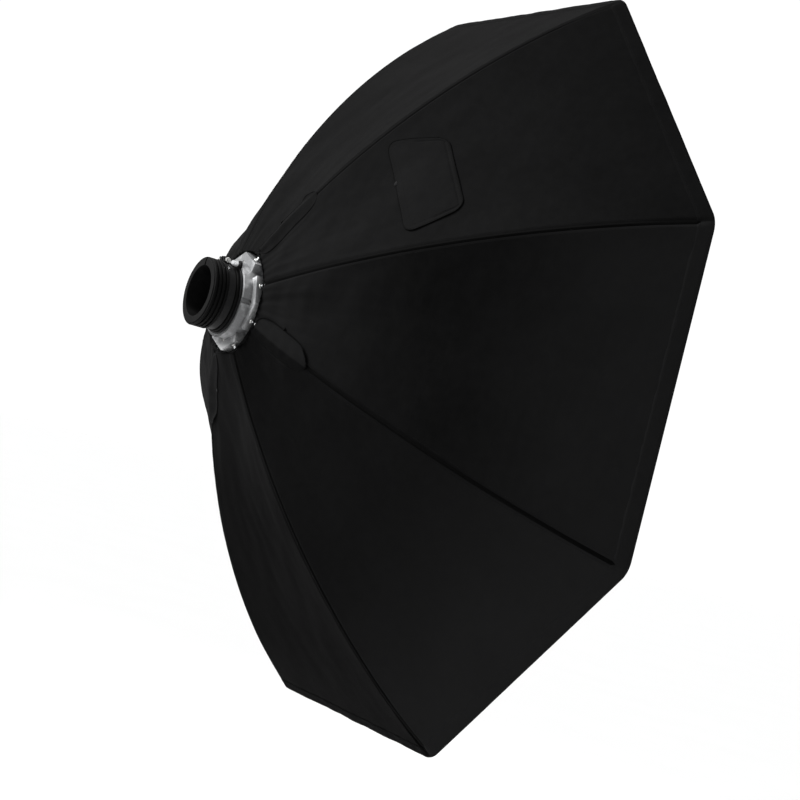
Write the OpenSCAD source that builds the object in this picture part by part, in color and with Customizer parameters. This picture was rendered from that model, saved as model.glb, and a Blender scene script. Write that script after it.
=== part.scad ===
// Octagonal softbox on a rotating rod ring, held on a flash head by a clamped rubber collar.
// Millimetres. +Z is up, the optical axis runs along Y and the front faces -Y.
// The origin is the centre of the rear mouth of the collar's bore, where the head enters.
// "Clock" angles turn from +Z towards -X, clockwise to someone standing behind the box.

/* [Softbox] */
// Distance between opposite flats of the front rim
across_flats = 1500; // [1400:10:1560]
// Radius of the bow that each rod takes
bow_radius = 1566; // [1540:2:1640]
// How far past the optical axis the centre of each bow lies
bow_offset = 396; // [380:2:410]
// Thickness of the fabric panels
skin = 2; // [1.5:0.5:2.5]
// Width of the hem along the front rim
hem_w = 26; // [20:1:35]

/* [Rods] */
// Radius of a sprung rod
rod_r = 3; // [2.5:0.25:3.75]
// Distance from the axis at which a rod bottoms in the ring
rod_start = 68; // [67:1:72]

/* [Ring] */
// Outer radius of the ring's round band
band_r = 76; // [75:0.5:77]
// Distance from the axis to the flat that a rod leaves
facet_r = 90; // [88:1:92]
// Radius of the ring's bearing bore
bearing_r = 62.08; // [62.05:0.01:62.1]

/* [Adapter] */
// Bore of the rubber collar
head_r = 50; // [48:0.5:51]
// Length of the rubber collar
collar_len = 54; // [52:1:54]
// Width of the clamp band
band_w = 14; // [12:1:14]

/* [Flaps] */
// Where a rod flap starts, from the axis
flap_in = 114; // [112:1:120]
// Where a rod flap ends, from the axis
flap_out = 254; // [240:2:270]
// Flap width on the side that opens
flap_free_w = 32; // [26:1:34]
// Flap width on the side that is sewn
flap_sewn_w = 24; // [20:1:26]
// Widest half-width of the slit under a flap
slit_w = 15; // [10:1:16]

/* [Rear port] */
// Inner and outer edges of the port, from the axis to the seam
port_in = 408; // [400:2:420]
// Outer edge of the port
port_out = 496; // [480:2:510]
// Share of the panel's width left on each side of the port
port_side = 0.24; // [0.2:0.01:0.3]

/* [Hidden] */

$fn = 96;
eps = 0.5;
half_step = 22.5;
corner_r = across_flats / 2 / cos(half_step);

fabric_black = [0.035, 0.035, 0.037];
tape_black = [0.02, 0.02, 0.02];
diffuser_white = [0.93, 0.93, 0.91];
cast_silver = [0.72, 0.73, 0.74];
steel = [0.6, 0.6, 0.62];
rubber_black = [0.05, 0.05, 0.05];

// ---- The bow that all rods and seams follow -------------------------------------------
// depth is measured inwards from the outer face of the fabric at a seam
function seam_clock(k) = half_step + 45 * (k - 1);
function arc_angle(r, depth = 0) = asin((r + bow_offset) / (bow_radius - depth));
function bow_point(a, depth) = [(bow_radius - depth) * sin(a) - bow_offset,
                                (bow_radius - depth) * cos(a) - bow_radius];
function seam_point(k, a, depth) =
    let (p = bow_point(a, depth), c = seam_clock(k))
    [-p[0] * sin(c), p[1], p[0] * cos(c)];
function chord_at(a) = 2 * bow_point(a, 0)[0] * sin(half_step);
function steps(from, to, n) = [for (i = [0:n]) from + (to - from) * i / n];
function blend(p, q, t) = p * (1 - t) + q * t;

rim_a = arc_angle(corner_r);
rim_y = bow_point(rim_a, 0)[1];
hem_a = rim_a - hem_w / bow_radius * 180 / PI;
throat_r = 108;
throat_a = arc_angle(throat_r);
sleeve_wall = 0.8;
sleeve_clear = 0.3;
sleeve_r = rod_r + sleeve_clear + sleeve_wall;
pocket_r = 5.3;
// Deep enough for a pocket to clear the panels, which fold inwards on both sides of a seam
rod_depth = skin + pocket_r + 1.4;

// ---- Places along the axis ------------------------------------------------------------
flange_y = -collar_len;
flange_front_y = flange_y - 4;
ring_back_y = flange_front_y - 0.5;
lobe_back_y = -76;
ring_front_y = -100;
plate_t = 3;
journal_r = 62;
journal_front_y = -106;
tube_bore_r = 54;
band_y = -39;
lever_z = 71;
pin_x = 12;
screw_at_r = 75;
knob_at_r = 73.5;
knob_clock = 25;
baffle_y = -285;
baffle_r = 432;
diffuser_y = rim_y + 10;
diffuser_r = corner_r - 17;
sheet_t = 1.5;

module clock(angle) rotate([0, -angle, 0]) children();
module lathe() rotate([-90, 0, 0]) rotate_extrude() children();
module slice(y0, y1) translate([0, y1, 0]) rotate([90, 0, 0]) linear_extrude(y1 - y0) children();
module disc(y0, y1, r) translate([0, y1, 0]) rotate([90, 0, 0]) cylinder(h = y1 - y0, r = r);
module octagon(r) rotate(half_step) circle(r = r, $fn = 8);

// A tube along the bow, from arc angle a0 to a1
module bow_tube(a0, a1, depth, r)
    translate([0, -bow_radius, -bow_offset])
        rotate([90, 0, 90])
            rotate([0, 0, a0])
                rotate_extrude(angle = a1 - a0, $fn = 180)
                    translate([bow_radius - depth, 0])
                        circle(r = r, $fn = 24);

// Stands its children on the bow at arc angle a, with +Z along the bow
module on_bow(a, depth)
    let (p = bow_point(a, depth))
        translate([0, p[1], p[0]])
            rotate([a, 0, 0])
                children();

// ---- A closed sheet between two grids of points ------------------------------------------
// wrap joins the last column to the first; hole is [row, column] of the one cell left out
module sheet(outer, inner, wrap = false, hole = [-1, -1]) {
    rows = len(outer) - 1;
    cols = len(outer[0]);
    cells = wrap ? cols : cols - 1;
    back = (rows + 1) * cols;
    function at(i, j) = i * cols + j % cols;
    function kept(i, j) = i >= 0 && i < rows && (wrap || (j >= 0 && j < cells)) && [i, j] != hole;
    faces = [
        for (i = [0:rows - 1], j = [0:cells - 1]) if (kept(i, j)) each [
            [at(i, j), at(i + 1, j), at(i + 1, j + 1), at(i, j + 1)],
            [back + at(i, j), back + at(i, j + 1), back + at(i + 1, j + 1), back + at(i + 1, j)],
            if (!kept(i, j - 1)) [at(i + 1, j), at(i, j), back + at(i, j), back + at(i + 1, j)],
            if (!kept(i, j + 1))
                [at(i, j + 1), at(i + 1, j + 1), back + at(i + 1, j + 1), back + at(i, j + 1)],
            if (!kept(i - 1, j)) [at(i, j), at(i, j + 1), back + at(i, j + 1), back + at(i, j)],
            if (!kept(i + 1, j))
                [at(i + 1, j + 1), at(i + 1, j), back + at(i + 1, j), back + at(i + 1, j + 1)]]];
    polyhedron(points = concat([for (row = outer) each row], [for (row = inner) each row]),
               faces = faces, convexity = 4);
}

// ---- Adapter ----------------------------------------------------------------------------
module adapter_tube() color(rubber_black) {
    lug_r = 8;
    difference() {
        union() {
            disc(journal_front_y, flange_y, journal_r);
            slice(flange_front_y, flange_y) {
                circle(r = 70);
                rotate(knob_clock) translate([0, knob_at_r]) circle(r = lug_r);
            }
        }
        disc(journal_front_y - eps, flange_y + eps, tube_bore_r);
        difference() {
            disc(ring_front_y - 2.5, ring_front_y - 0.5, journal_r + 1);
            disc(ring_front_y - 3, ring_front_y, journal_r - 2);
        }
        clock(knob_clock) translate([0, 0, knob_at_r]) disc(-60, -50, 2.56);
    }
}

module rubber_collar() color(rubber_black) {
    base_r = 63;
    rib_r = 67;
    rib_w = 4.5;
    difference() {
        lathe() union() {
            translate([head_r, -collar_len]) square([base_r - head_r, collar_len]);
            for (y = [-6.5, -14.5, -22.5, -30.5, -52.5])
                translate([base_r - 1, y]) square([rib_r - base_r + 1, rib_w]);
        }
        translate([-2.5, -collar_len - eps, 0]) cube([5, collar_len + 2 * eps, 80]);
    }
}

module clamp_band() color(tape_black) {
    inner = 63.1;
    outer = 64.7;
    difference() {
        union() {
            disc(band_y - band_w / 2, band_y + band_w / 2, outer);
            translate([-6, band_y - band_w / 2, 60]) cube([12, band_w, 17]);
        }
        disc(band_y - band_w, band_y + band_w, inner);
        translate([-2.8, band_y - band_w, 50]) cube([5.6, 2 * band_w, 30]);
        translate([0, band_y, lever_z]) rotate([0, 90, 0]) cylinder(h = 20, r = 2.6, center = true);
    }
}

module draw_bolt() color(steel) difference() {
    union() {
        translate([-15, band_y, lever_z]) rotate([0, 90, 0]) cylinder(h = 15 + pin_x - 2, r = 2.4);
        translate([pin_x, 0, lever_z]) disc(band_y - 2.5, band_y + 2.5, 4);
    }
    translate([pin_x, 0, lever_z]) disc(band_y - 4, band_y + 4, 2.05);
}

module draw_nut() color(steel) difference() {
    translate([-13, band_y, lever_z]) rotate([0, 90, 0]) cylinder(h = 6.5, r = 5.5, $fn = 6);
    translate([-14, band_y, lever_z]) rotate([0, 90, 0]) cylinder(h = 9, r = 2.45);
}

module cam_pin() color(steel) translate([pin_x, 0, lever_z]) disc(band_y - 8, band_y + 8, 2);

module clamp_lever() color(tape_black) {
    blade_in = 69.5;
    blade_out = 73;
    difference() {
        union() {
            intersection() {
                difference() {
                    disc(band_y - band_w / 2, band_y + band_w / 2, blade_out);
                    disc(band_y - band_w, band_y + band_w, blade_in);
                }
                slice(band_y - band_w, band_y + band_w)
                    polygon([[0, 0], for (a = steps(10, 62, 4)) 120 * [sin(a), cos(a)]]);
            }
            translate([pin_x, 0, lever_z]) disc(band_y - band_w / 2, band_y + band_w / 2, 5);
            // finger lip turned up at the free end
            clock(-60) translate([-2, band_y - band_w / 2, blade_in]) cube([4, band_w, 8]);
        }
        translate([pin_x, 0, lever_z]) disc(band_y - band_w, band_y + band_w, 2.06);
        slice(band_y - 3, band_y + 3) translate([5, 60]) square([15, 20]);
    }
}

module retaining_ring() color(steel) difference() {
    disc(ring_front_y - 2.4, ring_front_y - 0.6, 66);
    disc(ring_front_y - 4, ring_front_y + 1, journal_r - 1.9);
    translate([0, ring_front_y, -60]) cube([8, 10, 20], center = true);
}

module lock_knob() color(cast_silver) clock(knob_clock) translate([0, 0, knob_at_r]) {
    disc(-58.2, -45, 2.5);
    difference() {
        disc(-51, -40, 5.2);
        for (a = [0:30:330]) rotate([0, a, 0]) translate([0, 0, 5.6]) disc(-52, -39, 0.9);
    }
}

// ---- Rod ring ---------------------------------------------------------------------------
// One lobe serves the two rods on either side of it, each leaving at right angles to its facet
module lobe_outline() {
    reach = 20;
    side = facet_r * [sin(half_step), cos(half_step)] + reach * [cos(half_step), -sin(half_step)];
    polygon([[0, facet_r / cos(half_step)], side, [side[0] - 8, 52], [8 - side[0], 52],
             [-side[0], side[1]]]);
}

module rod_ring() color(cast_silver) {
    hole_a = arc_angle(80, rod_depth);
    difference() {
        union() {
            disc(ring_front_y, ring_back_y, band_r);
            for (c = [0:90:270]) clock(c) slice(ring_front_y, lobe_back_y) lobe_outline();
        }
        disc(ring_front_y - eps, ring_back_y + eps, bearing_r);
        for (k = [1:8]) clock(seam_clock(k)) on_bow(hole_a, rod_depth)
            translate([0, 0, rod_start - 80 - 1]) cylinder(h = 40, r = rod_r + 0.3);
        for (c = [0:90:270]) clock(c) translate([0, 0, screw_at_r]) {
            disc(lobe_back_y - 6, ring_back_y + eps, 5.4);
            disc(ring_front_y - eps, lobe_back_y, 3.1);
        }
    }
}

module ring_front_plate() color(cast_silver) difference() {
    slice(ring_front_y - plate_t, ring_front_y) union() {
        circle(r = 84);
        for (c = [0:90:270]) rotate(c) translate([0, 76]) circle(r = 12);
    }
    disc(ring_front_y - plate_t - eps, ring_front_y + eps, 68);
    for (c = [0:90:270]) clock(c) translate([0, 0, screw_at_r]) disc(-110, -90, 3);
}

module ring_screws() color(steel)
    for (c = [0:90:270]) clock(c) translate([0, 0, screw_at_r]) difference() {
        union() {
            disc(lobe_back_y - 6, lobe_back_y - 1, 5);
            disc(ring_front_y - plate_t, lobe_back_y - 5, 2.95);
        }
        disc(lobe_back_y - 4, lobe_back_y, 2.5, $fn = 6);
    }

// ---- Rods -------------------------------------------------------------------------------
rod_end_a = arc_angle(corner_r - 34, rod_depth);
cap_r = rod_r + 1;

module rod(k) color(steel) clock(seam_clock(k))
    bow_tube(arc_angle(rod_start, rod_depth), rod_end_a, rod_depth, rod_r);

module rod_tip_caps() color(rubber_black)
    for (k = [1:8]) clock(seam_clock(k)) on_bow(rod_end_a, rod_depth)
        difference() {
            translate([0, 0, -10]) cylinder(h = 13, r = cap_r);
            translate([0, 0, -11]) cylinder(h = 11, r = rod_r + 0.15);
        }

module corner_pockets() color(tape_black)
    for (k = [1:8]) clock(seam_clock(k)) on_bow(rod_end_a, rod_depth)
        difference() {
            translate([0, 0, -34]) cylinder(h = 40, r = pocket_r);
            translate([0, 0, -35]) cylinder(h = 38.5, r = cap_r + 0.3);
        }

module rod_sleeves() color(tape_black)
    for (k = [1:8]) clock(seam_clock(k)) difference() {
        bow_tube(arc_angle(flap_out + 12, rod_depth), rod_end_a - 1.4, rod_depth, sleeve_r);
        bow_tube(arc_angle(flap_out + 8, rod_depth), rod_end_a - 1.3, rod_depth, rod_r + sleeve_clear);
    }

// ---- Fabric -----------------------------------------------------------------------------
// Half-width of the rod slit at arc angle a: a lens that closes at both ends
slit_in_a = arc_angle(flap_in + 8);
slit_out_a = arc_angle(flap_out - 12);
function slit_half(a) =
    a <= slit_in_a || a >= slit_out_a ? 0 :
    slit_w * sqrt(sin(180 * (a - slit_in_a) / (slit_out_a - slit_in_a)));
function panel_row(k, a, depth, sides) =
    let (edge = 0.4,
         slit = edge + slit_half(a),
         from = (k % 2 == 1 ? slit : edge) / chord_at(a),
         to = 1 - (k % 2 == 1 ? edge : slit) / chord_at(a),
         p = seam_point(k, a, depth),
         q = seam_point(k + 1, a, depth))
    [for (v = concat([from], sides, [to])) blend(p, q, v)];

module panel(k) color(fabric_black) {
    has_port = k == 1;
    throat_rows = concat(steps(throat_a, slit_in_a, 1), steps(slit_in_a, slit_out_a, 8));
    outer_rows = has_port
        ? concat([arc_angle(330), arc_angle(port_in), arc_angle(port_out)],
                 steps(arc_angle(600), hem_a, 3))
        : steps(arc_angle(330), hem_a, 6);
    angles = concat([throat_a], [for (i = [1:len(throat_rows) - 1]) if (i != 1) throat_rows[i]],
                    outer_rows);
    sides = has_port ? [port_side, 1 - port_side] : [];
    port_row = has_port ? search(arc_angle(port_in), angles)[0] : -1;
    sheet([for (a = angles) panel_row(k, a, 0, sides)],
          [for (a = angles) panel_row(k, a, skin, sides)],
          hole = has_port ? [port_row, 1] : [-1, -1]);
}

module rim_hem() color(tape_black) {
    angles = [hem_a + 0.02, rim_a];
    sheet([for (a = angles) [for (k = [1:8]) seam_point(k, a, -0.8)]],
          [for (a = angles) [for (k = [1:8]) seam_point(k, a, skin + 0.8)]],
          wrap = true);
}

module throat_hem() color(tape_black)
    lathe() polygon([[70, ring_front_y - 5.2], [100, ring_front_y - 5.2], [100, -94],
                     [98.4, -94], [98.4, ring_front_y - 3.6], [70, ring_front_y - 3.6]]);

module hook_tape() color(tape_black)
    slice(diffuser_y + 3.4, diffuser_y + 4.6) difference() {
        octagon(diffuser_r - 2);
        octagon(diffuser_r - 30);
    }

// Hooked strips beside the port, on the outside of the first panel, hold its flap down
port_tape_t = 1;
function port_grid(in_r, out_r, shares, depth) =
    [for (a = steps(arc_angle(in_r), arc_angle(out_r), 4))
        let (p = seam_point(1, a, depth), q = seam_point(2, a, depth))
        [for (v = shares) blend(p, q, v)]];

module port_tape() color(tape_black) {
    // one strip on the inner side of the port, and one at each end
    strip = 0.045;
    low = -0.3;
    high = low - port_tape_t;
    sheet(port_grid(port_in - 16, port_in - 2, [port_side, 1 - port_side], high),
          port_grid(port_in - 16, port_in - 2, [port_side, 1 - port_side], low));
    for (v = [port_side - strip, 1 - port_side])
        sheet(port_grid(port_in, port_out, [v, v + strip], high),
              port_grid(port_in, port_out, [v, v + strip], low));
}

module inner_baffle() color(diffuser_white)
    slice(baffle_y, baffle_y + 1) octagon(baffle_r);

module baffle_straps() color(tape_black)
    for (k = [1:8]) clock(seam_clock(k))
        translate([-10, baffle_y + 1, baffle_r - 28]) cube([20, 1.2, 68]);

// ---- Flaps ------------------------------------------------------------------------------
// A flap lies over its seam: free edge on the lower-numbered panel, sewn edge on the other
flap_lift = 0.8;
function flap_row(k, a, depth, taper) =
    let (p = seam_point(k, a, depth),
         before = seam_point(k - 1, a, depth),
         after = seam_point(k + 1, a, depth),
         free = flap_free_w * taper / chord_at(a),
         sewn = flap_sewn_w / chord_at(a))
    [blend(p, before, free), p, blend(p, after, sewn)];

flap_rows = 10;
// The free edge runs in towards the seam over the last two rows
function flap_taper(i) = i < flap_rows - 1 ? 1 : i < flap_rows ? 0.86 : 0.26;
function flap_grid(k, depth) =
    let (angles = steps(arc_angle(flap_in), arc_angle(flap_out), flap_rows))
    [for (i = [0:flap_rows]) flap_row(k, angles[i], depth, flap_taper(i))];

module rod_flap(k) color(fabric_black)
    sheet(flap_grid(k, -flap_lift - skin), flap_grid(k, -flap_lift));

module port_flap() color(fabric_black) {
    lift = 2.2;
    shares = [port_side - 0.09, 1.09 - port_side];
    sheet(port_grid(port_in - 20, port_out + 22, shares, -skin - lift),
          port_grid(port_in - 20, port_out + 22, shares, -lift));
}

// ---- Front ------------------------------------------------------------------------------
module front_diffuser() color(diffuser_white)
    slice(diffuser_y + sheet_t, diffuser_y + 2 * sheet_t) octagon(diffuser_r);

module diffuser_border() color(tape_black)
    slice(diffuser_y, diffuser_y + sheet_t) difference() {
        octagon(diffuser_r);
        octagon(diffuser_r - 26);
    }

// A webbing tab over the rim near the fifth corner, with a thin loop to pull the front off by
module pull_loop() color(tape_black) {
    flat = across_flats / 2;
    edge_clock = seam_clock(5) + half_step;
    along = corner_r * sin(half_step) - 44;
    clock(edge_clock) translate([along, 0, 0]) {
        translate([-8, rim_y - 4.2, flat - 18]) cube([16, diffuser_y - rim_y + 4.2, 1.6]);
        translate([-8, rim_y - 4.2, flat - 18]) cube([16, 1.6, 26]);
        translate([0, rim_y - 2.6, flat + 20]) rotate([90, 0, 0]) difference() {
            cylinder(h = 1.6, r = 13);
            translate([0, 0, -eps]) cylinder(h = 3, r = 10.5);
        }
    }
}

adapter_tube();
rubber_collar();
clamp_band();
draw_bolt();
draw_nut();
cam_pin();
retaining_ring();
clamp_lever();
lock_knob();
rod_ring();
ring_front_plate();
ring_screws();
for (k = [1:8]) rod(k);
rod_tip_caps();
corner_pockets();
rod_sleeves();
for (k = [1:8]) panel(k);
rim_hem();
throat_hem();
hook_tape();
port_tape();
inner_baffle();
baffle_straps();
for (k = [1:2:7]) rod_flap(k);
port_flap();
front_diffuser();
diffuser_border();
pull_loop();
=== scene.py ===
# %% [markdown]
# # An octagonal softbox
# A softbox is an umbrella turned inside out: eight sprung steel rods are bent outwards from a
# cast ring, and eight fabric gores stretched over them make a deep bowl with a white front.
# The measured parts arrive as a fixed frame. This lesson dresses them: cloth is rebuilt as
# thin curved sheets with seams, hems and stitches, and metal keeps its shape and gets a finish.

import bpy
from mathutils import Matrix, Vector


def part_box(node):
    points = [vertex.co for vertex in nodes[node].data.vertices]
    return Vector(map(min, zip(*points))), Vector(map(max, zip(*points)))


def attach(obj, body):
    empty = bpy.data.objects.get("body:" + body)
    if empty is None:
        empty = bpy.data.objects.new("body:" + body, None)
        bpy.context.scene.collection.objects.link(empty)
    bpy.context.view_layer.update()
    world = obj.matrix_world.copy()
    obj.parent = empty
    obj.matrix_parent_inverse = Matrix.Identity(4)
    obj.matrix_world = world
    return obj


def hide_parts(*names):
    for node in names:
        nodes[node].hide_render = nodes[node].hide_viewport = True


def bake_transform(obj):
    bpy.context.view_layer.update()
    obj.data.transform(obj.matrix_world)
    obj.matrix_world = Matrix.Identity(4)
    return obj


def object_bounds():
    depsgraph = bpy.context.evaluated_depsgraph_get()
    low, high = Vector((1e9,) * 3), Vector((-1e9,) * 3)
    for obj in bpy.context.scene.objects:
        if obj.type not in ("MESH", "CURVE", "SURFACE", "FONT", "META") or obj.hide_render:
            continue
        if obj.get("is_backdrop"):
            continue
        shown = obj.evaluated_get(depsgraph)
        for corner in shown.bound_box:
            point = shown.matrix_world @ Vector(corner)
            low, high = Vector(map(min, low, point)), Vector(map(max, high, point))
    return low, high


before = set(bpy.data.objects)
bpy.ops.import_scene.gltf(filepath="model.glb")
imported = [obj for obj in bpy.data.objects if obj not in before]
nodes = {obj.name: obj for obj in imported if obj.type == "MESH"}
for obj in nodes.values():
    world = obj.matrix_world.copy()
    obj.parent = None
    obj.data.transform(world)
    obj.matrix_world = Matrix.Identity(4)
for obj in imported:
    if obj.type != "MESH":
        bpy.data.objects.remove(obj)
cad_box = [list(corner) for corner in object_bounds()]

import math

import bpy
from mathutils import Matrix, Vector, noise

print("frame:", len(nodes), "parts, box", [[round(x, 3) for x in c] for c in cad_box])

# %% [markdown]
# ## Camera, floor and light
# The box is seen from behind and a little above, with a short telephoto lens. The rods make
# its axis level, but the stand tilts it, so the camera is rolled instead of the part. A camera
# can be placed by a matrix whose columns are its right, its up and the way back to it.

# %% Camera
camera_data = bpy.data.cameras.new("camera")
camera_data.lens, camera_data.sensor_width = 84.2, 36.0
camera_data.clip_start, camera_data.clip_end = 0.05, 200
camera = bpy.data.objects.new("camera", camera_data)
bpy.context.scene.collection.objects.link(camera)
right = Vector((-0.4999, -0.8298, 0.2481))
down = Vector((-0.0904, -0.2349, -0.9678))
ahead = Vector((0.8613, -0.5062, 0.0424))
camera.matrix_world = Matrix.Translation((-3.2716, 1.4322, -0.2573)) @ Matrix(
    (right, -down, -ahead)).transposed().to_4x4()
bpy.context.scene.camera = camera
print("camera at", [round(x, 2) for x in camera.location])

# %% [markdown]
# Black cloth is judged by faint differences of grey, so the light is large and soft: one high
# on the far side lifts the upper gores, a weaker one behind reaches the ring, and the white
# room fills the rest. The Standard view transform keeps these greys as they are, where a
# filmic one would lift them. The floor is a wide pale disc below the box.

# %% Floor and lights
FLOOR_DROP = 0.55
def disc_mesh(name, radius, sides=96):
    points = [(0, 0, 0)] + [(radius * math.cos(2 * math.pi * i / sides),
                             radius * math.sin(2 * math.pi * i / sides), 0) for i in range(sides)]
    faces = [(0, i + 1, (i + 1) % sides + 1) for i in range(sides)]
    mesh = bpy.data.meshes.new(name)
    mesh.from_pydata(points, [], faces)
    return mesh

floor = bpy.data.objects.new("floor", disc_mesh("floor", 60))
floor.location.z = cad_box[0][2] - FLOOR_DROP
bpy.context.scene.collection.objects.link(floor)
floor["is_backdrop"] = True

world = bpy.data.worlds.new("white room")
world.use_nodes = True
room = world.node_tree.nodes["Background"]
room.inputs["Color"].default_value = (1, 1, 1, 1)
room.inputs["Strength"].default_value = 1.06
bpy.context.scene.world = world

def soft_light(name, place, target, size, watts, spread=180):
    data = bpy.data.lights.new(name, "AREA")
    data.shape, data.size, data.energy = "DISK", size, watts
    data.spread = math.radians(spread)
    light = bpy.data.objects.new(name, data)
    light.location = place
    light.rotation_euler = (Vector(target) - Vector(place)).to_track_quat("-Z", "Y").to_euler()
    bpy.context.scene.collection.objects.link(light)

soft_light("overhead", (1.5, 2.2, 2.8), (0, -0.2, 0.2), 1.6, 62, 70)
soft_light("behind", (0.2, 3.2, 1.0), (0, -0.1, 0), 1.2, 11, 70)
soft_light("front", (2.6, -3.8, 1.6), (0, -0.5, 0), 3.0, 22)
bpy.context.scene.view_settings.view_transform = "Standard"
print("floor at z", round(floor.location.z, 3))

# %% [markdown]
# ## Writing finishes as sums
# A material is a small calculation over the surface. `Signal` wraps one output socket and
# borrows Python's operators, so `1 - grain * 0.3` adds its own Math nodes. `Finish` makes the
# material and every other node, settings first and then the values or links of its sockets.

# %% Signals and finishes
class Signal:
    """A number or colour that changes over a surface."""

    def __init__(self, finish, socket):
        self.finish, self.socket = finish, socket

    def math(self, operation, *values):
        return self.finish.node("ShaderNodeMath", {"operation": operation},
                                dict(enumerate(values)))

    def __add__(self, other):
        return self.math("ADD", self, other)

    def __sub__(self, other):
        return self.math("SUBTRACT", self, other)

    def __rsub__(self, other):
        return self.math("SUBTRACT", other, self)

    def __mul__(self, other):
        return self.math("MULTIPLY", self, other)

    __radd__, __rmul__ = __add__, __mul__

    def sine(self):
        return self.math("SINE", self)

    def size(self):
        return self.math("ABSOLUTE", self)

    def over(self, low, high):
        """0 below low, 1 above high, smooth between."""
        return self.finish.node("ShaderNodeMapRange", {"interpolation_type": "SMOOTHSTEP"},
                                {"Value": self, "From Min": low, "From Max": high})


class Finish:
    """One material with a Principled shader, whose plain settings are given by name."""

    def __init__(self, name, **plain):
        self.material = bpy.data.materials.new(name)
        self.material.use_nodes = True
        self.tree = self.material.node_tree
        self.tree.nodes.clear()
        self.shader = self.tree.nodes.new("ShaderNodeBsdfPrincipled")
        out = self.tree.nodes.new("ShaderNodeOutputMaterial")
        self.tree.links.new(self.shader.outputs[0], out.inputs[0])
        for key, value in plain.items():
            label = key.replace("_", " ").title().replace("Ior", "IOR")
            self.feed(self.shader.inputs[label], value)

    def feed(self, socket, value):
        if isinstance(value, Signal):
            self.tree.links.new(value.socket, socket)
        else:
            socket.default_value = value

    def node(self, kind, settings=None, values=None, output=0):
        made = self.tree.nodes.new(kind)
        for key, value in (settings or {}).items():
            setattr(made, key, value)
        for key, value in (values or {}).items():
            self.feed(made.inputs[key], value)
        return Signal(self, made.outputs[output])

    def place(self):
        return self.node("ShaderNodeTexCoord", output="Object")

    def threads(self, output):
        """Distance along the cloth, in metres: output 0 across the gore and 1 along it."""
        where = self.node("ShaderNodeAttribute", {"attribute_name": "threads"}, output="Vector")
        return self.node("ShaderNodeSeparateXYZ", values={0: where}, output=output)

    def shade(self):
        """Painted light and shade stored on the cloth: 1 is as usual, less is darker, more is
        lighter.
        """
        return self.node("ShaderNodeAttribute", {"attribute_name": "shade"}, output="Fac")

    def cloud(self, scale, detail=3.0, rough=0.5, stretch=None):
        where = self.place()
        if stretch:
            where = self.node("ShaderNodeVectorMath", {"operation": "MULTIPLY"},
                              {0: where, 1: stretch})
        return self.node("ShaderNodeTexNoise", values={
            "Vector": where, "Scale": scale, "Detail": detail, "Roughness": rough})

    def blend(self, share, first, second):
        return self.node("ShaderNodeMix", {"data_type": "RGBA"},
                         {0: share, 6: (*first, 1), 7: (*second, 1)}, output=2)

    def bump(self, height, strength, distance):
        """Adds relief over whatever relief the finish already has."""
        under = self.shader.inputs["Normal"]
        values = {"Height": height, "Strength": strength, "Distance": distance}
        if under.is_linked:
            values["Normal"] = Signal(self, under.links[0].from_socket)
        self.feed(under, self.node("ShaderNodeBump", values=values))

    def colour(self, value):
        self.feed(self.shader.inputs["Base Color"], value)

    def roughness(self, value):
        self.feed(self.shader.inputs["Roughness"], value)


print("finishes are written as sums of signals")

# %% [markdown]
# ## Cloth finishes
# The shell is a dense nylon canvas: near black, matte, with a faint sheen of loose fibre at
# grazing angles. Warp and weft are two sine waves multiplied, so each crossing is a small
# hill; they follow the `threads` coordinates, which are metres on the cloth, and so bend with
# each gore. A slow cloud moves the grey, as handling does; the stored `shade` is painted light
# and shade, which makes parts of each gore lighter or darker as the light falls on them.

# %% Woven cloth
def woven(name, dark, light, pitch, relief, **plain):
    cloth = Finish(name, **plain)
    wave = 2 * math.pi / pitch
    across, along = cloth.threads(0), cloth.threads(1)
    crossing = (across * wave).sine() * (along * wave).sine() * 0.5 + 0.5
    slub = cloth.cloud(420, 2, 0.6, (1, 1, 0.25))
    cloth.bump(crossing * 0.7 + slub * 0.6, 0.55, relief)
    cloth.bump(cloth.cloud(22, 4, 0.55, (1, 1, 0.5)), 0.4, 0.004)
    handled = cloth.cloud(7, 3) * 0.5 + cloth.cloud(60, 3) * 0.5
    # handled is random tone from use; the stored shade is painted light and shade
    cloth.colour(cloth.blend(handled * 0.35 + cloth.shade() * 0.65 - 0.17, dark, light))
    cloth.roughness(0.95 - crossing * 0.1 - handled * 0.1)
    return cloth

canvas = woven("black canvas", (0, 0, 0), (0.0064, 0.0064, 0.0065), 0.0011,
               0.00022, sheen_weight=0.004, sheen_roughness=0.35, ior=1.05)
white_cloth = woven("white diffusion cloth", (0.62, 0.62, 0.61), (0.70, 0.70, 0.69), 0.0009,
                    0.00012, sheen_weight=0.05, specular_ior_level=0.3)
print("woven cloths:", canvas.material.name, "and", white_cloth.material.name)

# %% [markdown]
# The inside of the shell is coated silver so that no light is lost. The coating is a thin
# foil pressed into the canvas: metallic but rough, and finely wrinkled. Tapes and straps are
# woven narrow: their ribs run across the tape, which is what tells webbing from cloth. Hook
# tape is a bed of tiny stiff hooks, best drawn as a fine cell pattern.

# %% Lining, webbing, hook tape and thread
lining = Finish("silver lining", metallic=0.85, base_color=(0.72, 0.73, 0.74, 1))
foil = lining.cloud(90, 4, 0.65)
lining.bump(foil, 0.5, 0.0015)
lining.bump(lining.cloud(700, 2, 0.5), 0.4, 0.0002)
lining.roughness(foil * 0.25 + 0.28)

def webbing(name, dark, light, rib=0.0016, stiff=0.0004):
    tape = Finish(name, sheen_weight=0.004, ior=1.08)
    wave = 2 * math.pi / rib
    ribs = (tape.threads(1) * wave).sine() * 0.5 + 0.5
    cross = (tape.threads(0) * wave).sine().size()
    tape.bump(ribs * 0.75 + cross * 0.25, 0.7, stiff)
    dust = tape.cloud(35, 4, 0.6)
    tape.colour(tape.blend(dust, dark, light))
    tape.roughness(0.9 - ribs * 0.12)
    return tape

# The binding is real black tape, made far darker than the canvas as painted shade: it stands in for
# the shadow in the seam grooves and along the port and rod flap edges.
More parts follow.
